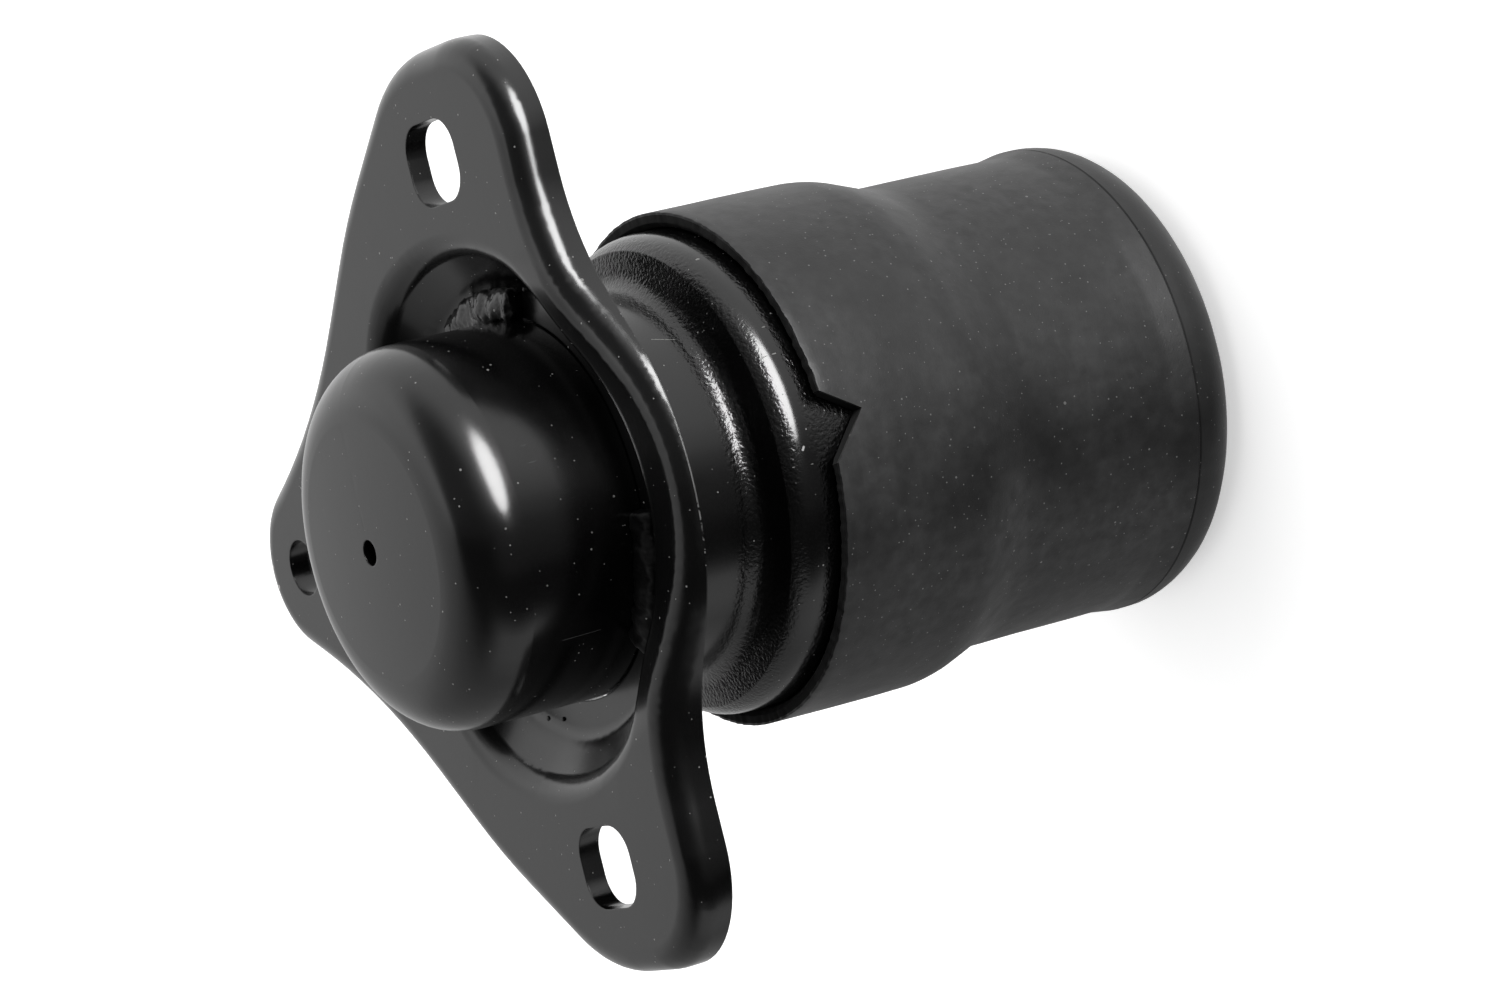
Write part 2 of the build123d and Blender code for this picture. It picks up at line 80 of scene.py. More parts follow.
class Bench:
    """Edit-mode steps on one new mesh, as they are done by hand."""

    def __init__(self, name: str) -> None:
        """Starts a piece as one vertex on the mount's axis.

        Args:
            name: the piece's name.
        """
        if bpy.context.mode != "OBJECT":
            bpy.ops.object.mode_set(mode="OBJECT")
        bpy.ops.object.select_all(action="DESELECT")
        bpy.ops.mesh.primitive_plane_add(size=MM, location=(0, 0, 0))
        self.piece = bpy.context.object
        self.piece.name = name
        self.piece.data.name = name
        bpy.ops.object.mode_set(mode="EDIT")
        bpy.ops.mesh.select_all(action="SELECT")
        bpy.ops.mesh.merge(type="CENTER")

    def mesh(self) -> bmesh.types.BMesh:
        """The mesh that is being edited."""
        return bmesh.from_edit_mesh(self.piece.data)

    def pick(self, wanted: Callable[[Vector], bool]) -> None:
        """Selects the vertices that lie where they are wanted, and nothing else.

        Args:
            wanted: says whether a place, in millimetres, is wanted.
        """
        bpy.ops.mesh.select_mode(type="VERT")
        bpy.ops.mesh.select_all(action="DESELECT")
        mesh = self.mesh()
        for vertex in mesh.verts:
            if wanted(vertex.co / MM):
                vertex.select_set(True)
        mesh.select_flush_mode()
        bmesh.update_edit_mesh(self.piece.data)

    def move(self, step: Vector) -> None:
        """Moves what is selected by a step in millimetres."""
        bpy.ops.transform.translate(value=step * MM)

    def draw(self, points: list[Point]) -> None:
        """Draws a closed profile in the XZ plane by extruding the first vertex from point to point.

        Args:
            points: radius and height of each corner in millimetres.
        """
        self.move(Vector((points[0][0], 0, points[0][1])))
        for (radius, height), (next_radius, next_height) in zip(points, points[1:]):
            step = Vector((next_radius - radius, 0, next_height - height)) * MM
            bpy.ops.mesh.extrude_region_move(TRANSFORM_OT_translate={"value": step})
        ends = [Vector((radius, 0, height)) for radius, height in (points[0], points[-1])]
        self.pick(lambda place: any((place - end).length < SAME_MM for end in ends))
        bpy.ops.mesh.edge_face_add()

    def round_corner(self, point: Point, tangent_mm: float, segments: int) -> None:
        """Rounds one corner of a drawn profile.

        Args:
            point: the corner's radius and height in millimetres.
            tangent_mm: how far along its sides the round begins.
            segments: how many straight pieces the round has.
        """
        corner = Vector((point[0], 0, point[1]))
        self.pick(lambda place: (place - corner).length < SAME_MM)
        bpy.ops.mesh.bevel(offset=tangent_mm * MM, segments=segments, affect="VERTICES")

    def divide(self, longer_mm: float) -> None:
        """Divides the profile's long sides, so that the surface can be made uneven.

        Args:
            longer_mm: sides longer than this are divided.
        """
        for _ in range(MOST_CUTS):
            bpy.ops.mesh.select_mode(type="EDGE")
            bpy.ops.mesh.select_all(action="DESELECT")
            mesh = self.mesh()
            long_edges = [edge for edge in mesh.edges if edge.calc_length() > longer_mm * MM]
            if not long_edges:
                return
            for edge in long_edges:
                edge.select_set(True)
            bmesh.update_edit_mesh(self.piece.data)
            bpy.ops.mesh.subdivide(number_cuts=1)

    def spin(self, steps: int, turn_deg: float = 360.0) -> None:
        """Turns the drawn profile round the mount's axis.

        Args:
            steps: how many steps the turn has.
            turn_deg: how far it turns.
        """
        bpy.ops.mesh.select_all(action="SELECT")
        bpy.ops.mesh.spin(steps=steps, angle=math.radians(turn_deg), center=(0, 0, 0), axis=(0, 0, 1))
        self.tidy()

    def tidy(self) -> None:
        """Merges doubled vertices and turns every face outwards."""
        bpy.ops.mesh.select_mode(type="VERT")
        bpy.ops.mesh.select_all(action="SELECT")
        bpy.ops.mesh.remove_doubles(threshold=MERGE_MM * MM)
        bpy.ops.mesh.normals_make_consistent(inside=False)

    def leave(self) -> None:
        """Goes back to object mode with the piece active."""
        bpy.ops.object.mode_set(mode="OBJECT")
        bpy.context.view_layer.objects.active = self.piece

    def group(self, name: str, weight: Callable[[Vector], float]) -> None:
        """Weighs every vertex for a modifier.

        Args:
            name: the group's name.
            weight: gives a vertex's weight from its place in millimetres.
        """
        self.leave()
        group = self.piece.vertex_groups.new(name=name)
        for vertex in self.piece.data.vertices:
            group.add([vertex.index], weight(vertex.co / MM), "REPLACE")

    def wave(self, group: str, size_mm: float, height_mm: float, direction: str = "NORMAL") -> None:
        """Makes a surface uneven.

        Args:
            group: the vertex group that moves.
            size_mm: how wide the bumps are.
            height_mm: from the lowest to the highest.
            direction: NORMAL, or the axis along which it moves.
        """
        texture = bpy.data.textures.new(f"{self.piece.name}_{group}", "CLOUDS")
        texture.noise_scale = size_mm * MM
        texture.noise_depth = 2
        modify(self.piece, "DISPLACE", texture=texture, texture_coords="LOCAL", mid_level=0.5,
               strength=height_mm * MM, direction=direction, vertex_group=group)

    def cut(self, cutter: bpy.types.Object) -> None:
        """Cuts another body out of the piece and removes that body."""
        self.leave()
        modify(self.piece, "BOOLEAN", object=cutter, operation="DIFFERENCE", solver="EXACT")
        bpy.data.objects.remove(cutter)


def smooth(value: float, low: float, high: float) -> float:
    """Eases from 0 at one value to 1 at another.

    Args:
        value: where it is taken.
        low: the value that gives 0.
        high: the value that gives 1.

    Returns:
        The eased share.
    """
    share = min(1.0, max(0.0, (value - low) / (high - low)))
    return share * share * (3 - 2 * share)


def finish(
    piece: bpy.types.Object, material: bpy.types.Material, node: str, angle: float = 30.0
) -> None:
    """Shades a piece, dresses it and puts it in the place of a CAD node.

    Args:
        piece: the piece, in object mode.
        material: its material.
        node: the CAD node that it replaces.
        angle: edges sharper than this many degrees stay sharp.
    """
    bpy.ops.object.select_all(action="DESELECT")
    bpy.context.view_layer.objects.active = piece
    piece.select_set(True)
    bpy.ops.object.shade_smooth_by_angle(angle=math.radians(angle))
    piece.data.materials.clear()
    piece.data.materials.append(material)
    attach(piece, "root")
    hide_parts(node)
    LOG.info("%s: %d vertices", piece.name, len(piece.data.vertices))


# Finishes


def spread(
    tree: bpy.types.NodeTree, source: Socket, span: Point, to_span: Point = (0.0, 1.0), kind: str = "LINEAR"
) -> Socket:
    """Maps a range of a value to another range, and holds it at the ends.

    Args:
        tree: the nodes of a material or of the room.
        source: the value.
        span: where the range begins and ends.
        to_span: what it gives there.
        kind: LINEAR or SMOOTHSTEP.

    Returns:
        The mapped value.
    """
    node = tree.nodes.new("ShaderNodeMapRange")
    node.interpolation_type = kind
    for name, value in zip(("From Min", "From Max", "To Min", "To Max"), (*span, *to_span)):
        node.inputs[name].default_value = value
    tree.links.new(source, node.inputs["Value"])
    return node.outputs["Result"]


@dataclass(frozen=True)
class Dust:
    """Scattered dust: how far apart, the largest speck's radius and the share of places that hold one."""

    spacing_mm: float
    size_mm: float
    share: float


class Recipe:
    """A material in the making, with the few patterns that the finishes share."""

    ragged_mm: float = 0.8
    ragged_reach: Point = (0.4, 1.2)

    def __init__(self, name: str, roughness: float, metallic: float = 0.0, shine: float = 0.5) -> None:
        """Starts a material.

        Args:
            name: its name.
            roughness: how rough it is where nothing else says so.
            metallic: 1 for bare metal.
            shine: how strongly it reflects, 0.5 for plain plastic or paint.
        """
        self.material = bpy.data.materials.new(name)
        self.material.use_nodes = True
        self.tree = self.material.node_tree
        self.shader = self.tree.nodes["Principled BSDF"]
        self.shader.inputs["Roughness"].default_value = roughness
        self.shader.inputs["Metallic"].default_value = metallic
        self.shader.inputs["Specular IOR Level"].default_value = shine
        self.place = self.node("ShaderNodeTexCoord").outputs["Object"]

    def node(self, kind: str, **settings: object) -> bpy.types.Node:
        """Adds a node.

        Args:
            kind: the node's type.
            settings: its own settings by name.

        Returns:
            The node.
        """
        node = self.tree.nodes.new(kind)
        for name, value in settings.items():
            setattr(node, name, value)
        return node

    def link(self, source: Socket, target: Socket) -> None:
        """Joins two sockets."""
        self.tree.links.new(source, target)

    def turned(self, turn_deg: float, stretch: Place = (1, 1, 1)) -> Socket:
        """The place in the row's frame, turned round the mount's axis and stretched.

        Args:
            turn_deg: how far it is turned.
            stretch: scale along each axis.

        Returns:
            The place as a vector.
        """
        mapping = self.node("ShaderNodeMapping")
        mapping.inputs["Rotation"].default_value[2] = math.radians(turn_deg)
        mapping.inputs["Scale"].default_value = stretch
        self.link(self.place, mapping.inputs["Vector"])
        return mapping.outputs["Vector"]

    def noise(self, size_mm: float, detail: float = 2.0, place: Socket | None = None) -> Socket:
        """Soft irregular clouds.

        Args:
            size_mm: how wide a cloud is.
            detail: how many finer layers it has.
            place: where it reads, if not the plain place.

        Returns:
            A value from 0 to 1.
        """
        noise = self.node("ShaderNodeTexNoise")
        noise.inputs["Scale"].default_value = 1.0 / (size_mm * MM)
        noise.inputs["Detail"].default_value = detail
        self.link(place or self.place, noise.inputs["Vector"])
        return noise.outputs["Fac"]

    def span(self, source: Socket, low: float, high: float, to_low: float, to_high: float) -> Socket:
        """Maps a range of a value to another range, as spread does, in this material."""
        return spread(self.tree, source, (low, high), (to_low, to_high))

    def sum(self, kind: str, first: Socket, second: Socket | float) -> Socket:
        """Works out one value from two.

        Args:
            kind: the operation, such as MULTIPLY or MAXIMUM.
            first: a value.
            second: a value or a number.

        Returns:
            The result.
        """
        node = self.node("ShaderNodeMath", operation=kind)
        self.link(first, node.inputs[0])
        if isinstance(second, float):
            node.inputs[1].default_value = second
        else:
            self.link(second, node.inputs[1])
        return node.outputs[0]

    def specks(self, dust: Dust) -> Socket:
        """Scattered small specks.

        Args:
            dust: their spacing, size and number.

        Returns:
            1 on a speck and 0 elsewhere.
        """
        cells = self.node("ShaderNodeTexVoronoi")
        cells.inputs["Scale"].default_value = 1.0 / (dust.spacing_mm * MM)
        self.link(self.place, cells.inputs["Vector"])
        split = self.node("ShaderNodeSeparateColor")
        self.link(cells.outputs["Color"], split.inputs["Color"])
        largest = dust.size_mm / dust.spacing_mm
        reach = self.span(split.outputs["Red"], 1.0 - dust.share, 1.0, 0.0, largest)
        return self.sum("LESS_THAN", cells.outputs["Distance"], reach)

    def stroke(self, start_mm: Place, end_mm: Place, width_mm: float) -> Socket:
        """One straight scratch between two places.

        Args:
            start_mm: where it begins.
            end_mm: where it ends.
            width_mm: its width.

        Returns:
            1 on the scratch and 0 elsewhere.
        """
        along = Vector(end_mm) - Vector(start_mm)
        from_start = self.vector("SUBTRACT", self.place, Vector(start_mm) * MM).outputs["Vector"]
        reach = self.vector("DOT_PRODUCT", from_start, along.normalized()).outputs["Value"]
        held = self.sum("MAXIMUM", self.sum("MINIMUM", reach, along.length * MM), 0.0)
        nearest = self.node("ShaderNodeVectorMath", operation="SCALE")
        nearest.inputs[0].default_value = along.normalized()
        self.link(held, nearest.inputs["Scale"])
        away = self.vector("DISTANCE", from_start, nearest.outputs["Vector"]).outputs["Value"]
        return self.sum("LESS_THAN", away, width_mm * MM / 2)

    def vector(self, kind: str, first: Socket, second: Socket | Vector) -> bpy.types.Node:
        """Works with two vectors.

        Args:
            kind: the operation, such as SUBTRACT or DISTANCE.
            first: a vector from another node.
            second: a vector from another node, or a fixed one.

        Returns:
            The node.
        """
        node = self.node("ShaderNodeVectorMath", operation=kind)
        self.link(first, node.inputs[0])
        if isinstance(second, Vector):
            node.inputs[1].default_value = second
        else:
            self.link(second, node.inputs[1])
        return node

    def band(self, low_mm: float, high_mm: float, soft_mm: float) -> Socket:
        """A band round the mount between two heights, with soft edges.

        Args:
            low_mm: its lower edge.
            high_mm: its upper edge.
            soft_mm: how wide each edge fades.

        Returns:
            1 in the band and 0 elsewhere.
        """
        split = self.node("ShaderNodeSeparateXYZ")
        self.link(self.place, split.inputs["Vector"])
        above = self.span(split.outputs["Z"], (low_mm - soft_mm) * MM, low_mm * MM, 0.0, 1.0)
        below = self.span(split.outputs["Z"], high_mm * MM, (high_mm + soft_mm) * MM, 1.0, 0.0)
        return self.sum("MULTIPLY", above, below)

    def within(self, radius_mm: float) -> Socket:
        """What lies nearer to the mount's axis than a radius.

        Args:
            radius_mm: the radius.

        Returns:
            1 inside and 0 outside.
        """
        flat = self.node("ShaderNodeVectorMath", operation="MULTIPLY")
        flat.inputs[1].default_value = (1.0, 1.0, 0.0)
        self.link(self.place, flat.inputs[0])
        length = self.node("ShaderNodeVectorMath", operation="LENGTH")
        self.link(flat.outputs["Vector"], length.inputs[0])
        return self.sum("LESS_THAN", length.outputs["Value"], radius_mm * MM)

    def chip(self, centre_mm: Place, radius_mm: float) -> Socket:
        """A ragged spot round one place.

        Args:
            centre_mm: its middle.
            radius_mm: how far it reaches.

        Returns:
            1 on the spot and 0 elsewhere.
        """
        away = self.vector("DISTANCE", self.place, Vector(centre_mm) * MM)
        least, most = [share * radius_mm * MM for share in self.ragged_reach]
        edge = self.span(self.noise(self.ragged_mm, 3.0), *MIDDLE, least, most)
        return self.sum("LESS_THAN", away.outputs["Value"], edge)

    def color(self, factor: Socket, dark: Place, light: Place) -> Socket:
        """Blends two colours.

        Args:
            factor: 0 for the first and 1 for the second.
            dark: the first colour.
            light: the second colour.

        Returns:
            The colour.
        """
        ramp = self.node("ShaderNodeValToRGB")
        ramp.color_ramp.elements[0].color = (*dark, 1.0)
        ramp.color_ramp.elements[1].color = (*light, 1.0)
        self.link(factor, ramp.inputs["Fac"])
        return ramp.outputs["Color"]

    def over(self, mask: Socket, under: Socket, top: Place) -> Socket:
        """Lays a colour over another where a mask says so.

        Args:
            mask: 1 where the colour lies.
            under: the colour beneath.
            top: the colour that is laid on.

        Returns:
            The colour.
        """
        mix = self.node("ShaderNodeMix", data_type="RGBA")
        self.link(mask, mix.inputs["Factor"])
        self.link(under, mix.inputs["A"])
        mix.inputs["B"].default_value = (*top, 1.0)
        return mix.outputs["Result"]

    def bump(self, height: Socket, depth_mm: float, below: Socket | None = None) -> Socket:
        """Fine relief.

        Args:
            height: 0 at the bottom and 1 at the top.
            depth_mm: how deep it is.
            below: relief that it is added to.

        Returns:
            The surface's direction.
        """
        bump = self.node("ShaderNodeBump")
        bump.inputs["Strength"].default_value = 1.0
        bump.inputs["Distance"].default_value = depth_mm * MM
        self.link(height, bump.inputs["Height"])
        if below is not None:
            self.link(below, bump.inputs["Normal"])
        return bump.outputs["Normal"]

    def done(self, color: Socket, roughness: Socket, normal: Socket) -> bpy.types.Material:
        """Joins colour, roughness and relief to the shader.

        Args:
            color: the colour.
            roughness: the roughness.
            normal: the relief.

        Returns:
            The finished material.
        """
        self.link(color, self.shader.inputs["Base Color"])
        self.link(roughness, self.shader.inputs["Roughness"])
        self.link(normal, self.shader.inputs["Normal"])
        return self.material


@dataclass(frozen=True)
class LineMark:
    """A straight line in the paint's colour: a scratch, and once on the can's shoulder a painted glint."""

    start_mm: Place
    end_mm: Place
    width_mm: float = 0.16
    color: Place = (0.22, 0.22, 0.21)


@dataclass(frozen=True)
class Chip:
    """A place where the paint is knocked off."""

    centre_mm: Place
    radius_mm: float


@dataclass(frozen=True)
class PaintedEdgeHighlight:
    """A painted highlight along a stretch of an edge, laid in patches between two heights and near a place:
    light colour that stands for the glint of the edge.
    """

    low_mm: float
    high_mm: float
    centre_mm: Place
    reach_mm: float
    soft_mm: float = 0.03
    patch_mm: float = 1.6
    patch_span: Point = (0.38, 0.55)


@dataclass(frozen=True)
class Pebble:
    """A band of the surface where the paint has dried in pebbles."""

    low_mm: float
    high_mm: float
    soft_mm: float = 1.2


@dataclass(frozen=True)
class BlackPaint:
    """Semi-gloss black paint with orange peel, dust, knocks and scratches, and where given, a painted glint
    and a painted edge highlight.
    """

    name: str = "black_paint"
    dark: Place = (0.0009, 0.0009, 0.00095)
    light: Place = (0.0022, 0.0022, 0.0023)
    dust: Place = (0.2, 0.2, 0.195)
    bare: Place = (0.32, 0.31, 0.3)
    # painted highlight: the light colour of the edge stretch, standing for its glint
    edge_highlight: Place = (0.14, 0.14, 0.14)
    gloss: Point = (0.15, 0.24)
    dust_roughness: float = 0.7
    mark_roughness: float = 0.5
    shine: float = 0.5
    cloud_mm: float = 14.0
    peel_mm: float = 1.6
    peel_depth_mm: float = 0.004
    grain_mm: float = 0.35
    grain_depth_mm: float = 0.0015
    pebble_mm: float = 0.55
    pebble_span: Point = (0.35, 0.6)
    pebble_depth_mm: float = 0.03
    fine_dust: Dust = Dust(1.1, 0.14, 0.45)
    large_dust: Dust = Dust(4.1, 0.24, 0.35)
    edge_round_mm: float = 0.3
    scratches_and_glint: tuple[LineMark, ...] = ()
    chips: tuple[Chip, ...] = ()
    pebbles: tuple[Pebble, ...] = ()
    painted_edge_highlight: PaintedEdgeHighlight | None = None

    def relief(self, recipe: Recipe) -> Socket:
        """Rounded edges, orange peel, grain and pebbles.

        Args:
            recipe: the material in the making.

        Returns:
            The surface's direction.
        """
        edge = recipe.node("ShaderNodeBevel", samples=4)
        edge.inputs["Radius"].default_value = self.edge_round_mm * MM
        normal = recipe.bump(recipe.noise(self.peel_mm, 1.0), self.peel_depth_mm, edge.outputs["Normal"])
        normal = recipe.bump(recipe.noise(self.grain_mm, 2.0), self.grain_depth_mm, normal)
        for pebble in self.pebbles:
            height = recipe.span(recipe.noise(self.pebble_mm, 2.0), *self.pebble_span, 0.0, 1.0)
            band = recipe.band(pebble.low_mm, pebble.high_mm, pebble.soft_mm)
            normal = recipe.bump(recipe.sum("MULTIPLY", height, band), self.pebble_depth_mm, normal)
        return normal

    def material(self) -> bpy.types.Material:
        """Makes the material."""
        recipe = Recipe(self.name, self.gloss[0], shine=self.shine)
        cloud = recipe.noise(self.cloud_mm, 4.0)
        color = recipe.color(cloud, self.dark, self.light)
        specks = recipe.sum("MAXIMUM", recipe.specks(self.fine_dust), recipe.specks(self.large_dust))
        color = recipe.over(specks, color, self.dust)
        rough = recipe.span(cloud, *MIDDLE, *self.gloss)
        rough = recipe.sum("MAXIMUM", rough, recipe.sum("MULTIPLY", specks, self.dust_roughness))
        # line marks: scratches, and one painted glint on the can's shoulder
        marks = [(recipe.stroke(s.start_mm, s.end_mm, s.width_mm), s.color) for s in self.scratches_and_glint]
        marks += [(recipe.chip(c.centre_mm, c.radius_mm), self.bare) for c in self.chips]
        # painted highlight along an edge stretch, in patches
        if self.painted_edge_highlight:
            patchy = recipe.span(recipe.noise(self.painted_edge_highlight.patch_mm, 3.0), *self.painted_edge_highlight.patch_span, 0.0, 1.0)
            edge = recipe.band(self.painted_edge_highlight.low_mm, self.painted_edge_highlight.high_mm, self.painted_edge_highlight.soft_mm)
            near = recipe.chip(self.painted_edge_highlight.centre_mm, self.painted_edge_highlight.reach_mm)
            marks.append((recipe.sum("MULTIPLY", recipe.sum("MULTIPLY", edge, near), patchy), self.edge_highlight))
        for mark, mark_color in marks:
            color = recipe.over(mark, color, mark_color)
            rough = recipe.sum("MAXIMUM", rough, recipe.sum("MULTIPLY", mark, self.mark_roughness))
        return recipe.done(color, rough, self.relief(recipe))


@dataclass(frozen=True)
class WornRubber:
    """Rubber with cloudy patches, fine grain, dust and short rubbed marks.

    It is dark and dull where it was cut by hand: between the heights of cut_z, within cut_mm of the axis.
    """

    name: str
    dark: Place
    light: Place
    dust: Place = (0.13, 0.13, 0.128)
    gloss: Point = (0.42, 0.56)
    shine: float = 0.32
    cloud_mm: float = 16.0
    cloud_span: Point = (0.32, 0.68)
    rubbed_mm: float = 1.2
    rubbed_turn_deg: float = 35.0
    rubbed_stretch: Place = (0.25, 1.0, 1.0)
    rubbed_span: Point = (0.35, 0.7)
    rubbed_light: Point = (0.7, 1.0)
    mottle_mm: float = 2.2
    mottle_light: Point = (0.25, 1.0)
    haze: float = 0.25
    grain_mm: float = 0.3
    grain_depth_mm: float = 0.02
    ripple_mm: float = 3.0
    ripple_depth_mm: float = 0.05
    fine_dust: Dust = Dust(0.8, 0.13, 0.6)
    large_dust: Dust = Dust(3.0, 0.24, 0.45)
    cut_z: Point | None = None
    cut_soft_mm: float = 0.3
    cut_mm: float = 36.9
    cut_color: Place = (0.003, 0.003, 0.003)
    cut_roughness: float = 0.95

    def material(self) -> bpy.types.Material:
        """Makes the material."""
        recipe = Recipe(self.name, self.gloss[0], shine=self.shine)
        cloud = recipe.span(recipe.noise(self.cloud_mm, 6.0), *self.cloud_span, 0.0, 1.0)
        rubbed = recipe.noise(self.rubbed_mm, 3.0, recipe.turned(self.rubbed_turn_deg, self.rubbed_stretch))
        mottle = recipe.span(recipe.noise(self.mottle_mm, 5.0), *MIDDLE, *self.mottle_light)
        mix = recipe.sum("MULTIPLY", cloud, recipe.span(rubbed, *self.rubbed_span, *self.rubbed_light))
        mix = recipe.sum("MULTIPLY", recipe.sum("ADD", mix, self.haze), mottle)
        color = recipe.color(mix, self.dark, self.light)
        specks = recipe.sum("MAXIMUM", recipe.specks(self.fine_dust), recipe.specks(self.large_dust))
        color = recipe.over(specks, color, self.dust)
        rough = recipe.span(cloud, 0.0, 1.0, *self.gloss)
        if self.cut_z:
            band = recipe.band(*self.cut_z, self.cut_soft_mm)
            cut = recipe.sum("MULTIPLY", band, recipe.within(self.cut_mm))
            color = recipe.over(cut, color, self.cut_color)
            rough = recipe.sum("MAXIMUM", rough, recipe.sum("MULTIPLY", cut, self.cut_roughness))
        normal = recipe.bump(recipe.noise(self.ripple_mm, 2.0), self.ripple_depth_mm)
        normal = recipe.bump(recipe.noise(self.grain_mm, 3.0), self.grain_depth_mm, normal)
        return recipe.done(color, rough, normal)


@dataclass(frozen=True)
class BareMetal:
    """Turned or cast metal with fine tool marks or a cast skin."""

    name: str
    dark: Place
    light: Place
    gloss: Point = (0.28, 0.42)
    grain_mm: float = 0.5
    grain_depth_mm: float = 0.006
    turned: bool = True
    cloud_mm: float = 6.0
    dull_mm: float = 2.0
    ring_scale: float = 400.0
    ring_distortion: float = 0.4
    ring_depth_mm: float = 0.003

    def material(self) -> bpy.types.Material:
        """Makes the material."""
        recipe = Recipe(self.name, self.gloss[0], metallic=1.0)
        cloud = recipe.noise(self.cloud_mm, 4.0)
        color = recipe.color(cloud, self.dark, self.light)
        rough = recipe.span(recipe.noise(self.dull_mm, 3.0), *MIDDLE, *self.gloss)
        normal = recipe.bump(recipe.noise(self.grain_mm, 3.0), self.grain_depth_mm)
        if self.turned:
            rings = recipe.node("ShaderNodeTexWave", wave_type="RINGS", rings_direction="Z")
            rings.inputs["Scale"].default_value = self.ring_scale
            rings.inputs["Distortion"].default_value = self.ring_distortion
            recipe.link(recipe.place, rings.inputs["Vector"])
            normal = recipe.bump(rings.outputs["Fac"], self.ring_depth_mm, normal)
        return recipe.done(color, rough, normal)


class Coat(Enum):
    """The finishes of the mount."""

    PLATE = BlackPaint(
        "plate_paint",
        chips=(Chip((1.2, 74.8, 104.2), 0.5), Chip((-2.0, 74.2, 104.2), 0.45)),
        # painted highlight along the rim's rear edge, standing for the glint of its burr
        painted_edge_highlight=PaintedEdgeHighlight(97.9, 98.16, (6.0, -44.3, 98.1), 17.0),
    )
    CAN = BlackPaint(
        "can_paint",
        scratches_and_glint=(
            LineMark((16.87, -29.92, 75.71), (17.1, -30.31, 73.1)),
            LineMark((13.03, -31.88, 75.48), (13.19, -32.2, 73.58)),
            LineMark((-2.49, -33.93, 76.32), (-2.69, -34.7, 73.56), 0.12),
            # painted glint: a short bright stroke that stands for a glint on the shoulder, not a scratch
            LineMark((-0.51, -34.7, 74.57), (-0.15, -34.75, 74.33), 0.3, (0.5, 0.5, 0.5)),
            LineMark((19.21, -19.26, 84.6), (18.46, -19.98, 81.43), 0.1),
            LineMark((8.97, -25.37, 116.64), (9.12, -25.61, 111.0), 0.09, (0.003, 0.003, 0.003)),
            LineMark((6.61, -26.16, 116.32), (6.7, -26.36, 110.5), 0.09, (0.003, 0.003, 0.003)),
            LineMark((-17.68, -20.68, 110.0), (-17.57, -20.77, 104.0), 0.06, (0.1, 0.1, 0.1)),
        ),
        pebbles=(Pebble(76.2, 81.5), Pebble(60.0, 72.4)),
    )
    BEAD = BlackPaint("weld_paint", gloss=(0.1, 0.2), peel_mm=0.9, peel_depth_mm=0.08, grain_depth_mm=0.02)
    SHADED_BEAD = BlackPaint("shaded_weld_paint", gloss=(0.4, 0.5), shine=0.2)
    JACKET = WornRubber("jacket_rubber", (0.007, 0.007, 0.0072), (0.03, 0.03, 0.0305), cut_z=(60.0, 73.0))
    MOULDED = WornRubber("moulded_rubber", (0.008, 0.008, 0.0082), (0.014, 0.014, 0.0142), cloud_mm=9.0)
    STEEL = BareMetal("plain_steel", (0.42, 0.42, 0.43), (0.58, 0.58, 0.59))
    ALLOY = BareMetal("core_alloy", (0.58, 0.59, 0.6), (0.7, 0.71, 0.72))
    CAST = BareMetal("track_alloy", (0.5, 0.51, 0.52), (0.64, 0.65, 0.66), (0.4, 0.55), 0.9, 0.02, False)

    def material(self) -> bpy.types.Material:
        """The material, made once."""
        ready = bpy.data.materials.get(self.value.name)
        return ready or self.value.material()


# The pieces


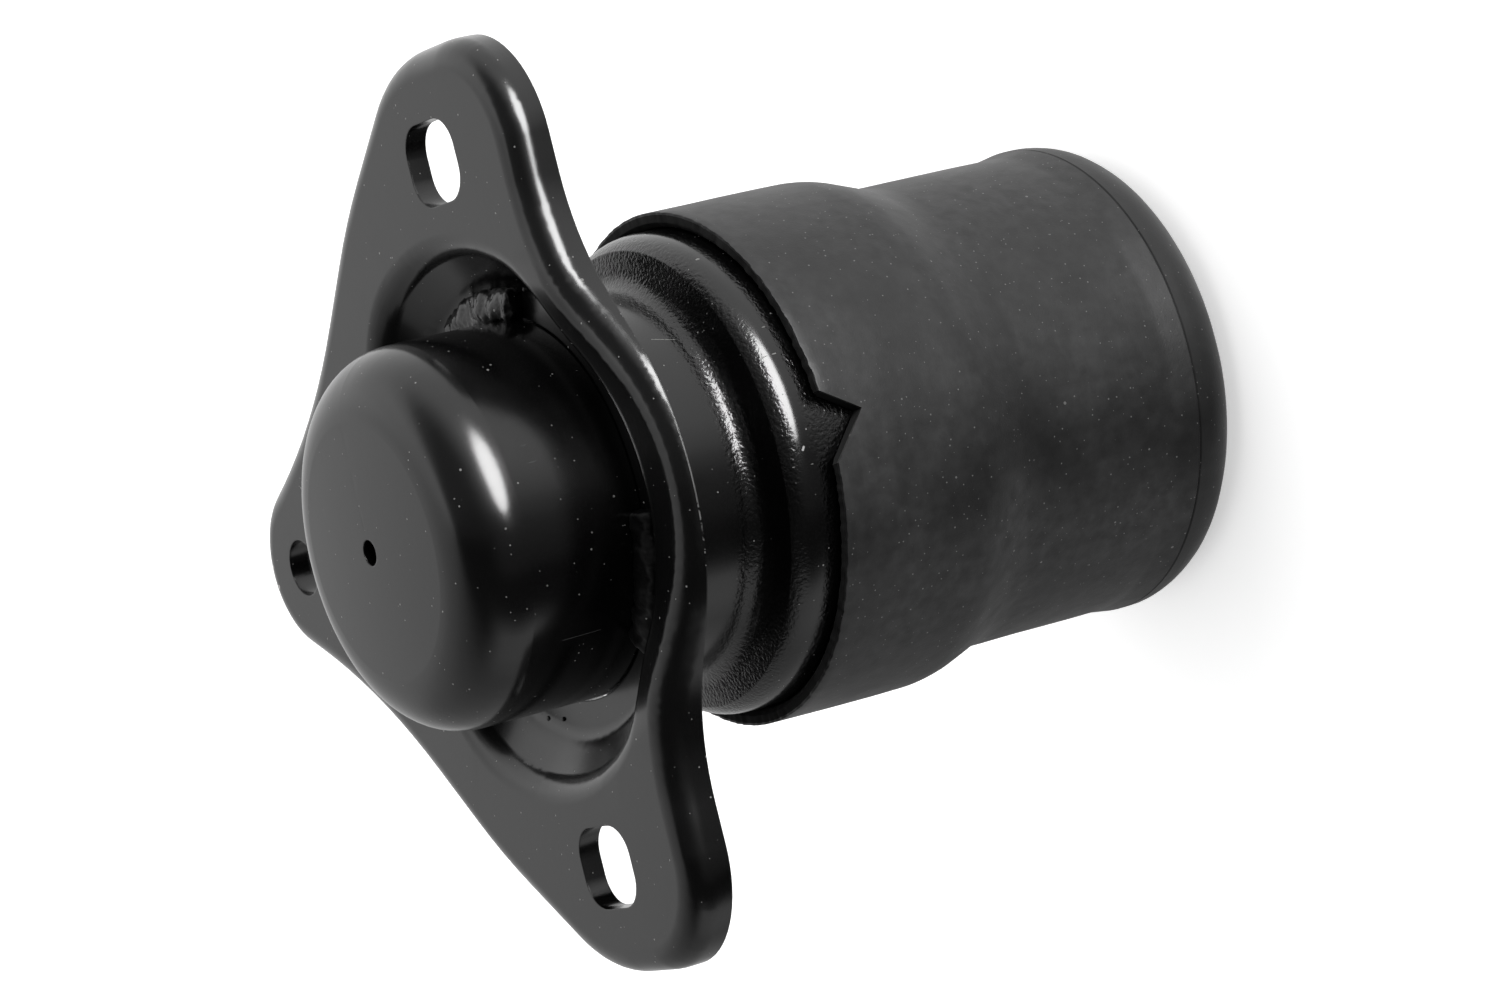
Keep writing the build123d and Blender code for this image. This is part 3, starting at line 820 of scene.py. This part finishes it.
@dataclass
class Jacket:
    """Rubber sleeve round the can, cut to length by hand, with a notch in its front edge.

    The pairs ragged_mm and skin_mm are the width and the height of bumps, here and in the other pieces.
    """

    large_mm: float = 37.3
    small_mm: float = 34.2
    foot_mm: float = 34.8
    wall_mm: float = 2.2
    foot_wall_mm: float = 2.7
    rear_z: float = 8.4
    flare_z: float = 12.4
    step_low_z: float = 37.4
    step_high_z: float = 46.4
    front_z: float = 71.0
    edge_break_mm: float = 0.2
    mouth_mm: float = 0.7
    foot_round_mm: float = 0.6
    step_round_mm: float = 2.1
    front_round_mm: float = 0.15
    notch_deg: float = -85.1
    notch_depth_mm: float = 5.7
    notch_sides_mm: Point = (3.7, 6.5)
    notch_rise_mm: float = 2.0
    notch_from_mm: float = 20.0
    notch_reach_mm: float = 25.0
    longest_mm: float = 1.6
    ragged_z_mm: float = 0.4
    ragged_mm: Point = (1.0, 0.6)
    skin_mm: Point = (22.0, 0.35)
    skin_fade_mm: float = 4.0
    inside_mm: float = 4.1
    steps: int = 480

    def shape(self, bench: Bench) -> None:
        """Draws the wall's profile, with its soft step, and spins it.

        Args:
            bench: the bench with the new piece.
        """
        inner_large = self.large_mm - self.wall_mm
        inner_small = self.small_mm - self.foot_wall_mm
        bench.draw([
            (self.foot_mm - self.edge_break_mm, self.rear_z),
            (self.foot_mm, self.rear_z + self.edge_break_mm),
            (self.small_mm, self.flare_z),
            (self.small_mm, self.step_low_z),
            (self.large_mm, self.step_high_z),
            (self.large_mm, self.front_z),
            (inner_large + self.mouth_mm, self.front_z),
            (inner_large, self.front_z - self.mouth_mm),
            (inner_large, self.step_high_z),
            (inner_small, self.step_low_z),
            (inner_small, self.rear_z),
        ])
        bench.round_corner((self.small_mm, self.flare_z), self.foot_round_mm, 4)
        for radius in (self.small_mm, inner_small):
            bench.round_corner((radius, self.step_low_z), self.step_round_mm, 8)
        for radius in (self.large_mm, inner_large):
            bench.round_corner((radius, self.step_high_z), self.step_round_mm, 8)
        bench.round_corner((self.large_mm, self.front_z), self.front_round_mm, 2)
        bench.divide(self.longest_mm)
        bench.spin(self.steps)

    def notch_cutter(self) -> bpy.types.Object:
        """Makes the wedge that is cut out of the front edge.

        Returns:
            The wedge.
        """
        right, left = self.notch_sides_mm
        wedge = Bench("notch_cutter")
        rise = self.notch_rise_mm
        wedge.draw([(0.0, -self.notch_depth_mm), (right, 0.0), (right, rise), (-left, rise), (-left, 0.0)])
        bpy.ops.mesh.select_all(action="SELECT")
        bpy.ops.mesh.edge_face_add()
        wedge.move(Vector((0, -self.notch_from_mm, self.front_z)))
        bpy.ops.mesh.extrude_region_move(
            TRANSFORM_OT_translate={"value": (0, -self.notch_reach_mm * MM, 0)})
        wedge.tidy()
        turn = math.radians(self.notch_deg + 90)
        wedge.leave()
        wedge.piece.data.transform(Matrix.Rotation(turn, 4, "Z"))
        return wedge.piece

    def build(self) -> None:
        """Builds and dresses the sleeve."""
        cutter = self.notch_cutter()
        bench = Bench("sleeve_jacket")
        self.shape(bench)
        bench.cut(cutter)
        inside = self.large_mm - self.inside_mm
        bench.group("ragged_cut", lambda p: 1.0 if p.z > self.front_z - self.ragged_z_mm else 0.0)
        bench.wave("ragged_cut", *self.ragged_mm, "Z")
        bench.group("skin", lambda p: 0.0 if p.xy.length < inside else min(
            1.0, (p.z - self.rear_z) / self.skin_fade_mm))
        bench.wave("skin", *self.skin_mm)
        bench.leave()
        finish(bench.piece, Coat.JACKET.material(), "rubber_sleeve")


@dataclass
class SpringFoot:
    """Main rubber spring with its rounded rear end and a moulding line."""

    outside_mm: float = 34.8
    edge_round_mm: float = 7.2
    land_mm: float = 2.4
    recess_width_mm: float = 3.4
    recess_depth_mm: float = 17.0
    recess_round_mm: float = 1.6
    top_z: float = 8.4
    foot_z: float = 4.0
    core_foot_mm: float = 19.333
    core_head_mm: float = 13.833
    head_z: float = 37.0
    tube_mm: float = 29.2
    wall_top_z: float = 44.0
    edge_break_mm: float = 0.2
    inner_round_mm: float = 1.3
    land_round_mm: float = 0.8
    longest_mm: float = 2.5
    skin_z_mm: Point = (1.0, 7.9)
    skin_mm: Point = (9.0, 0.16)
    steps: int = 256

    def build(self) -> None:
        """Builds and dresses the spring."""
        recess_outer = self.outside_mm - self.edge_round_mm - self.land_mm
        recess_inner = recess_outer - self.recess_width_mm
        bench = Bench("spring_foot")
        bench.draw([
            (self.core_foot_mm, self.foot_z),
            (recess_inner, self.recess_depth_mm),
            (recess_outer, self.recess_depth_mm),
            (recess_outer, 0.0),
            (self.outside_mm, 0.0),
            (self.outside_mm, self.top_z - self.edge_break_mm),
            (self.outside_mm - self.edge_break_mm, self.top_z),
            (self.tube_mm, self.top_z),
            (self.tube_mm, self.wall_top_z),
            (self.core_head_mm, self.head_z),
        ])
        bench.round_corner((recess_inner, self.recess_depth_mm), self.inner_round_mm, 6)
        bench.round_corner((recess_outer, self.recess_depth_mm), self.recess_round_mm, 6)
        bench.round_corner((recess_outer, 0.0), self.land_round_mm, 4)
        bench.round_corner((self.outside_mm, 0.0), self.edge_round_mm, 16)
        bench.divide(self.longest_mm)
        bench.spin(self.steps)
        low, high = self.skin_z_mm
        bench.group("skin", lambda p: float(p.xy.length > self.tube_mm and low < p.z < high))
        bench.wave("skin", *self.skin_mm)
        bench.leave()
        finish(bench.piece, Coat.MOULDED.material(), "main_spring")


@dataclass
class WeldBead:
    """Rippled fillet weld between the dish's floor and the can.

    The shares are of the leg and the height, and the growths are of one section against the last.
    """

    can_mm: float = 27.2
    floor_z: float = 96.9
    leg_mm: float = 5.0
    height_mm: float = 3.0
    arc_deg: float = 40.0
    start_deg: float = -16.0
    ripples: int = 13
    sides: int = 14
    middle_share: float = 0.36
    section_share: float = 0.62
    start_share: float = 0.6
    first_growth: float = 1.5
    last_growth: float = 1 / 1.7
    ripple_growth: float = 1.06
    lumps_mm: Point = (2.2, 1.3)
    rough_mm: Point = (0.7, 0.5)
    copies: int = 3
    shaded_bead: int = 3
    spatter: tuple[Place, ...] = field(default_factory=lambda: (
        (31.6, -22.0, 0.45), (32.3, 31.0, 0.35), (30.9, 38.0, 0.3), (31.9, 27.5, 0.25), (31.2, -27.5, 0.3)))

    def bead(self) -> Bench:
        """Models the bead ripple by ripple, by extruding its section round the can.

        Returns:
            The bench with the bead.
        """
        bench = Bench("weld_bead_1")
        bpy.ops.mesh.select_all(action="SELECT")
        bpy.ops.mesh.delete(type="VERT")
        share = self.middle_share
        middle = Vector((self.can_mm + share * self.leg_mm, 0, self.floor_z + share * self.height_mm)) * MM
        bpy.ops.mesh.primitive_circle_add(
            vertices=self.sides, radius=self.section_share * self.leg_mm * MM, fill_type="NGON",
            location=middle, rotation=(math.pi / 2, 0, 0))
        bpy.ops.transform.resize(value=(1.0, 1.0, self.height_mm / self.leg_mm))
        bpy.ops.transform.resize(value=(self.start_share, 1.0, self.start_share))
        step = math.radians(self.arc_deg) / (3 * self.ripples)
        turn = 0.0
        for ripple in range(self.ripples):
            first = self.first_growth if ripple == 0 else self.ripple_growth
            last = self.last_growth if ripple == self.ripples - 1 else 1 / self.ripple_growth
            for growth in (first, 1.0, last):
                bpy.ops.mesh.extrude_region_move()
                bpy.ops.transform.rotate(value=-step, orient_axis="Z", center_override=(0, 0, 0))
                turn += step
                pivot = Matrix.Rotation(turn, 3, "Z") @ middle
                bpy.ops.transform.resize(value=(growth, growth, growth), center_override=pivot)
        bench.tidy()
        return bench

    def drop(self, bench: Bench, radius_mm: float, turn_deg: float, size_mm: float) -> None:
        """Adds one drop of spatter on the dish's floor.

        Args:
            bench: the bench with the bead; not used.
            radius_mm: its distance from the mount's axis.
            turn_deg: its angle from the bead's start.
            size_mm: its radius.
        """
        bpy.ops.mesh.select_all(action="DESELECT")
        turn = math.radians(turn_deg)
        place = Vector((radius_mm * math.cos(turn), radius_mm * math.sin(turn), self.floor_z)) * MM
        bpy.ops.mesh.primitive_uv_sphere_add(segments=12, ring_count=8, radius=size_mm * MM, location=place)
        bpy.ops.transform.resize(value=(1.0, 1.2, 0.75), center_override=place)

    def build(self) -> None:
        """Models one bead with its spatter and copies it to the other seams."""
        bench = self.bead()
        for radius_mm, turn_deg, size_mm in self.spatter:
            self.drop(bench, radius_mm, turn_deg + self.arc_deg / 2, size_mm)
        bench.leave()
        modify(bench.piece, "SUBSURF", levels=1, render_levels=1)
        bench.group("lumps", lambda p: 1.0)
        bench.wave("lumps", *self.lumps_mm)
        bench.group("rough", lambda p: 1.0)
        bench.wave("rough", *self.rough_mm)
        bench.piece.data.transform(Matrix.Rotation(math.radians(self.start_deg), 4, "Z"))
        for copy in range(1, self.copies):
            twin = bench.piece.copy()
            twin.data = bench.piece.data.copy()
            twin.name = f"weld_bead_{copy + 1}"
            twin.data.transform(Matrix.Rotation(math.radians(360 / self.copies * copy), 4, "Z"))
            bpy.context.scene.collection.objects.link(twin)
            coat = Coat.SHADED_BEAD if copy + 1 == self.shaded_bead else Coat.BEAD
            finish(twin, coat.material(), f"weld_seam_{copy + 1}", angle=60.0)
        bench.leave()
        finish(bench.piece, Coat.BEAD.material(), "weld_seam_1", angle=60.0)


@dataclass
class PressedPlate:
    """Pressed flange: the CAD plate, with the flare at the mouth of its dish.

    The flare begins at foot_z and is full from mouth_z up. Points within still_mm of the axis, or
    beyond edge_mm, stay where they are. It is widest towards the slotted ears, where X is nearly the
    whole radius, and dies out towards the saddle and the bridge.
    """

    foot_z: float = 97.7
    mouth_z: float = 101.9
    still_mm: float = 31.0
    moved_mm: float = 34.0
    edge_mm: float = 39.2
    flare_mm: float = 2.9
    narrow_share: float = 0.57
    wide_share: float = 0.9

    def flared(self, place: Vector) -> Vector:
        """Where a point of the plain plate lies on the flared one.

        Args:
            place: the point in millimetres.

        Returns:
            Its new place.
        """
        radius = place.xy.length
        if not self.still_mm < radius < self.edge_mm:
            return place
        width = self.flare_mm * smooth(abs(place.x) / radius, self.narrow_share, self.wide_share)
        rise = smooth(place.z, self.foot_z, self.mouth_z)
        out = smooth(radius, self.still_mm, self.moved_mm)
        grown = (radius + width * rise * out) / radius
        return Vector((place.x * grown, place.y * grown, place.z))

    def build(self) -> None:
        """Copies the plate's mesh, merges its corners and presses the flare into it."""
        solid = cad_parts["mounting_flange"]
        plate = solid.copy()
        plate.data = solid.data.copy()
        plate.name = "pressed_plate"
        bpy.context.scene.collection.objects.link(plate)
        bpy.ops.object.select_all(action="DESELECT")
        bpy.context.view_layer.objects.active = plate
        plate.select_set(True)
        bpy.ops.object.mode_set(mode="EDIT")
        bpy.ops.mesh.select_all(action="SELECT")
        bpy.ops.mesh.remove_doubles(threshold=MERGE_MM * MM)
        bpy.ops.mesh.customdata_custom_splitnormals_clear()
        bpy.ops.object.mode_set(mode="OBJECT")
        for vertex in plate.data.vertices:
            vertex.co = self.flared(vertex.co / MM) * MM
        finish(plate, Coat.PLATE.material(), "mounting_flange")
        modify(plate, "WEIGHTED_NORMAL", keep_sharp=True)


@dataclass
class CadSkins:
    """Finishes of the CAD solids whose shapes are right as they are."""

    coats: dict[str, Coat] = field(default_factory=lambda: {
        "upper_can": Coat.CAN,
        "outer_tube": Coat.STEEL,
        "stop_plate": Coat.STEEL,
        "stop_screw": Coat.STEEL,
        "diaphragm_ring": Coat.STEEL,
        "inner_core": Coat.ALLOY,
        "track_body": Coat.CAST,
        "track_cover": Coat.CAST,
        "track_rivets": Coat.STEEL,
        "track_seal": Coat.MOULDED,
        "decoupler": Coat.MOULDED,
        "diaphragm": Coat.MOULDED,
    })

    def build(self) -> None:
        """Dresses each solid."""
        for node, coat in self.coats.items():
            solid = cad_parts[node]
            solid.data.materials.clear()
            solid.data.materials.append(coat.material())
            LOG.info("dressed %s with %s", node, coat.value.name)


# The studio


class Lamp(Enum):
    """Each softbox: its direction and distance from the mount, its size and its light.

    The values are the way to the lamp in the row's frame, its distance, width and height in metres,
    its power in watts, and whether it is there for its reflection or for its light.
    """

    OVERHEAD = ((0.0, 0.25, 1.0), 1.5, 2.4, 2.4, 19.0, False)
    KEY = ((0.47, -0.88, 0.03), 0.9, 0.8, 0.42, 18.0, True)
    TOP = ((1.0, 0.1, 0.35), 0.9, 0.9, 0.5, 3.0, False)


@dataclass(frozen=True)
class Wall:
    """How bright the walls are all the way round, as pairs of an azimuth in degrees and a radiance."""

    name: str
    light: tuple[Point, ...]


@dataclass
class Room:
    """White walls and dark flags round the mount, which glossy paint mirrors.

    The low walls pass over into the high ones across rise_span, the sine of the angle above the floor.
    """

    low: Wall = Wall("low_wall", (
        (-180, 0.6), (-172, 0.75), (-157, 0.85), (-150, 0.3), (-144, 0.06), (-126, 0.05), (-112, 0.16),
        (-95, 0.22), (-84, 0.5), (-74, 0.9), (-60, 1.2), (-30, 1.4), (60, 1.2), (85, 0.95), (105, 0.7),
        (125, 0.45), (172, 0.45), (180, 0.6)))
    high: Wall = Wall("high_wall", (
        (-180, 0.22), (-160, 0.06), (-110, 0.05), (-90, 0.16), (-60, 0.24), (-15, 0.24), (2, 0.35),
        (12, 0.6), (22, 1.4), (35, 1.65), (55, 1.4), (80, 1.0), (95, 0.78), (120, 0.68), (150, 0.5),
        (168, 0.36), (180, 0.22)))
    rise_span: Point = (0.2, 0.72)
    brightest: float = 2.0
    backdrop: float = 1.2

    def wall(self, tree: bpy.types.NodeTree, turn: Socket, wall: Wall) -> Socket:
        """Lays one wall's brightness along the azimuth.

        Args:
            tree: the room's nodes.
            turn: the azimuth from 0 to 1.
            wall: its brightness.

        Returns:
            The brightness, as a share of the brightest.
        """
        ramp = tree.nodes.new("ShaderNodeValToRGB")
        ramp.label = wall.name
        ramp.color_ramp.interpolation = "EASE"
        stops = ramp.color_ramp.elements
        for number, (azimuth, light) in enumerate(wall.light):
            place = (azimuth + 180) / 360
            stop = stops[number] if number < 2 else stops.new(place)
            stop.position = place
            share = light / self.brightest
            stop.color = (share, share, share, 1.0)
        tree.links.new(turn, ramp.inputs["Fac"])
        return ramp.outputs["Color"]

    def build(self) -> None:
        """Makes the walls, and a white backdrop that only the camera sees."""
        world = bpy.data.worlds.new("room")
        world.use_nodes = True
        tree = world.node_tree
        bpy.context.scene.world = world
        way = tree.nodes.new("ShaderNodeSeparateXYZ")
        tree.links.new(tree.nodes.new("ShaderNodeTexCoord").outputs["Generated"], way.inputs["Vector"])
        azimuth = tree.nodes.new("ShaderNodeMath")
        azimuth.operation = "ARCTAN2"
        tree.links.new(way.outputs["Y"], azimuth.inputs[0])
        tree.links.new(way.outputs["X"], azimuth.inputs[1])
        turn = spread(tree, azimuth.outputs[0], (-math.pi, math.pi))
        rise = spread(tree, way.outputs["Z"], self.rise_span, kind="SMOOTHSTEP")
        walls = tree.nodes.new("ShaderNodeMix")
        walls.data_type = "RGBA"
        tree.links.new(rise, walls.inputs["Factor"])
        tree.links.new(self.wall(tree, turn, self.low), walls.inputs["A"])
        tree.links.new(self.wall(tree, turn, self.high), walls.inputs["B"])
        light = tree.nodes["Background"]
        light.inputs["Strength"].default_value = self.brightest
        tree.links.new(walls.outputs["Result"], light.inputs["Color"])
        backdrop = tree.nodes.new("ShaderNodeBackground")
        backdrop.inputs["Strength"].default_value = self.backdrop
        choice = tree.nodes.new("ShaderNodeMixShader")
        seen = tree.nodes.new("ShaderNodeLightPath").outputs["Is Camera Ray"]
        tree.links.new(seen, choice.inputs["Fac"])
        tree.links.new(light.outputs["Background"], choice.inputs[1])
        tree.links.new(backdrop.outputs["Background"], choice.inputs[2])
        tree.links.new(choice.outputs["Shader"], tree.nodes["World Output"].inputs["Surface"])


@dataclass
class Studio:
    """Camera, floor and lights of the picture."""

    eye: Place = (0.0026, -0.6566, 0.4480)
    right: Place = (-0.2402, -0.4921, -0.8367)
    up: Place = (0.9707, -0.1120, -0.2128)
    back: Place = (0.0110, -0.8633, 0.5045)
    focal_px: float = 5332.0
    image_width_px: float = 1500.0
    sensor_mm: float = 36.0
    subject: Place = (0.0, 0.0, 0.09)
    floor_m: float = 8.0
    floor_color: tuple[float, float, float, float] = (0.9, 0.9, 0.9, 1.0)
    floor_glow: float = 0.55

    def add_camera(self) -> None:
        """Adds the camera at the photograph's viewing angle."""
        data = bpy.data.cameras.new("camera")
        data.sensor_width = self.sensor_mm
        data.lens = self.focal_px / self.image_width_px * self.sensor_mm
        data.clip_start = 0.05
        data.clip_end = 20.0
        camera = bpy.data.objects.new("camera", data)
        turn = Matrix((self.right, self.up, self.back)).transposed()
        camera.matrix_world = Matrix.Translation(Vector(self.eye)) @ turn.to_4x4()
        bpy.context.scene.collection.objects.link(camera)
        bpy.context.scene.camera = camera

    def add_floor(self) -> None:
        """Adds the plain pale floor that the mount stands on."""
        bpy.ops.object.select_all(action="DESELECT")
        bpy.ops.mesh.primitive_plane_add(size=self.floor_m, location=(0, 0, 0))
        floor = bpy.context.object
        floor.name = "floor"
        recipe = Recipe("pale_paper", 0.9, shine=0.0)
        recipe.shader.inputs["Base Color"].default_value = self.floor_color
        recipe.shader.inputs["Emission Color"].default_value = self.floor_color
        recipe.shader.inputs["Emission Strength"].default_value = self.floor_glow
        floor.data.materials.append(recipe.material)
        floor.visible_glossy = False

    def add_lamp(self, lamp: Lamp) -> None:
        """Adds one softbox, turned to the mount."""
        way, distance, width, height, power, mirrored = lamp.value
        data = bpy.data.lights.new(lamp.name.lower(), "AREA")
        data.shape = "ELLIPSE" if mirrored else "RECTANGLE"
        data.size = width
        data.size_y = height
        data.energy = power
        light = bpy.data.objects.new(lamp.name.lower(), data)
        light.visible_glossy = mirrored
        light.visible_diffuse = not mirrored
        light.visible_camera = False
        place = Vector(self.subject) + Vector(way).normalized() * distance
        aim = (Vector(self.subject) - place).to_track_quat("-Z", "Y")
        light.matrix_world = Matrix.Translation(place) @ aim.to_matrix().to_4x4()
        bpy.context.scene.collection.objects.link(light)

    def build(self) -> None:
        """Sets up the whole studio."""
        self.add_camera()
        self.add_floor()
        for lamp in Lamp:
            self.add_lamp(lamp)
        bpy.context.scene.view_settings.view_transform = "Standard"


def main() -> None:
    """Builds the picture in order and reports each piece."""
    logging.basicConfig(level=logging.INFO, format="%(name)s: %(message)s")
    for part in (Room(), Studio(), CadSkins(), PressedPlate(), Jacket(), SpringFoot(), WeldBead()):
        part.build()
        LOG.info("built %s", type(part).__name__)


if __name__ == "__main__":
    main()
